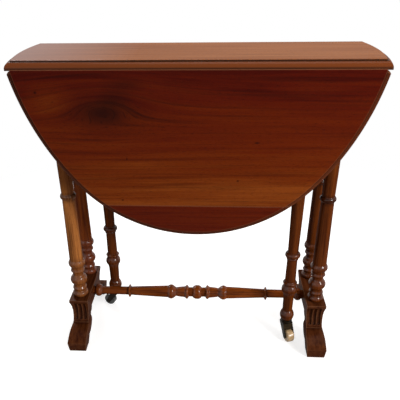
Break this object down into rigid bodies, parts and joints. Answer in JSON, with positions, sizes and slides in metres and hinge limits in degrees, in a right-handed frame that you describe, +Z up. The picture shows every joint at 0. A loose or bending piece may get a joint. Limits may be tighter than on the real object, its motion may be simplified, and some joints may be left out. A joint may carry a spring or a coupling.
{
  "type": "drop leaf table",
  "caption": "Narrow oval drop leaf table with rule-jointed leaves hanging beside turned column ends, a turned stretcher and swing legs on castors that hold the leaves up.",
  "frame": {"origin": "on the floor under the middle of the top", "axes": "+X along the table towards its right end, -Y the front, +Z up"},
  "size_m": [0.7678, 0.288, 0.7],
  "materials": {
    "polished_mahogany": "french polish, glossy",
    "turned_mahogany": "waxed, satin",
    "dark_mahogany": "waxed, satin",
    "frame_wood": "unpolished",
    "old_brass": "tarnished",
    "steel": "dull",
    "china": "glazed"
  },
  "bodies": {
    "frame": {"top_board": "polished_mahogany", "left_bearer": "frame_wood", "right_bearer": "frame_wood", "front_frame_rail": "frame_wood", "back_frame_rail": "frame_wood", "front_knuckle_rail": "frame_wood", "back_knuckle_rail": "frame_wood", "front_gate_pin": "steel", "back_gate_pin": "steel", "left_front_column": "turned_mahogany", "left_back_column": "turned_mahogany", "right_front_column": "turned_mahogany", "right_back_column": "turned_mahogany", "left_base": "dark_mahogany", "right_base": "dark_mahogany", "stretcher": "turned_mahogany", "front_hinge_fixed_flaps": "old_brass", "back_hinge_fixed_flaps": "old_brass"},
    "front_leaf": {"front_leaf_board": "polished_mahogany", "front_leaf_tip": "polished_mahogany", "front_leaf_stop": "frame_wood", "front_hinge_moving_flaps": "old_brass"},
    "front_gate": {"front_fly_rail": "frame_wood", "front_gate_leg": "turned_mahogany", "front_castor_cup": "old_brass"},
    "front_castor": {"front_castor_horn": "old_brass", "front_castor_axle": "steel"},
    "front_wheel": {"front_castor_wheel": "china"},
    "back_leaf": {"back_leaf_board": "polished_mahogany", "back_leaf_tip": "polished_mahogany", "back_leaf_stop": "frame_wood", "back_hinge_moving_flaps": "old_brass"},
    "back_gate": {"back_fly_rail": "frame_wood", "back_gate_leg": "turned_mahogany", "back_castor_cup": "old_brass"},
    "back_castor": {"back_castor_horn": "old_brass", "back_castor_axle": "steel"},
    "back_wheel": {"back_castor_wheel": "china"}
  },
  "joints": [
    {"name": "front_leaf_hinge", "type": "hinge", "parent": "frame", "child": "front_leaf", "pos_m": [0, -0.102, 0.685], "axis": [-1, 0, 0], "range_deg": [0, 90]},
    {"name": "front_gate_pivot", "type": "hinge", "parent": "frame", "child": "front_gate", "pos_m": [-0.04, -0.0525, 0.651], "axis": [0, 0, -1], "range_deg": [0, 3.5]},
    {"name": "front_castor_swivel", "type": "hinge", "parent": "front_gate", "child": "front_castor", "pos_m": [0.23, -0.06, 0.048], "axis": [0, 0, 1], "continuous": true},
    {"name": "front_wheel_spin", "type": "hinge", "parent": "front_castor", "child": "front_wheel", "pos_m": [0.23684, -0.07879, 0.016], "axis": [-0.9397, -0.342, 0], "continuous": true},
    {"name": "back_leaf_hinge", "type": "hinge", "parent": "frame", "child": "back_leaf", "pos_m": [0, 0.102, 0.685], "axis": [1, 0, 0], "range_deg": [0, 90]},
    {"name": "back_gate_pivot", "type": "hinge", "parent": "frame", "child": "back_gate", "pos_m": [0.04, 0.0525, 0.651], "axis": [0, 0, -1], "range_deg": [0, 3.5]},
    {"name": "back_castor_swivel", "type": "hinge", "parent": "back_gate", "child": "back_castor", "pos_m": [-0.23, 0.06, 0.048], "axis": [0, 0, 1], "continuous": true},
    {"name": "back_wheel_spin", "type": "hinge", "parent": "back_castor", "child": "back_wheel", "pos_m": [-0.24879, 0.06684, 0.016], "axis": [0.342, 0.9397, 0], "continuous": true}
  ]
}
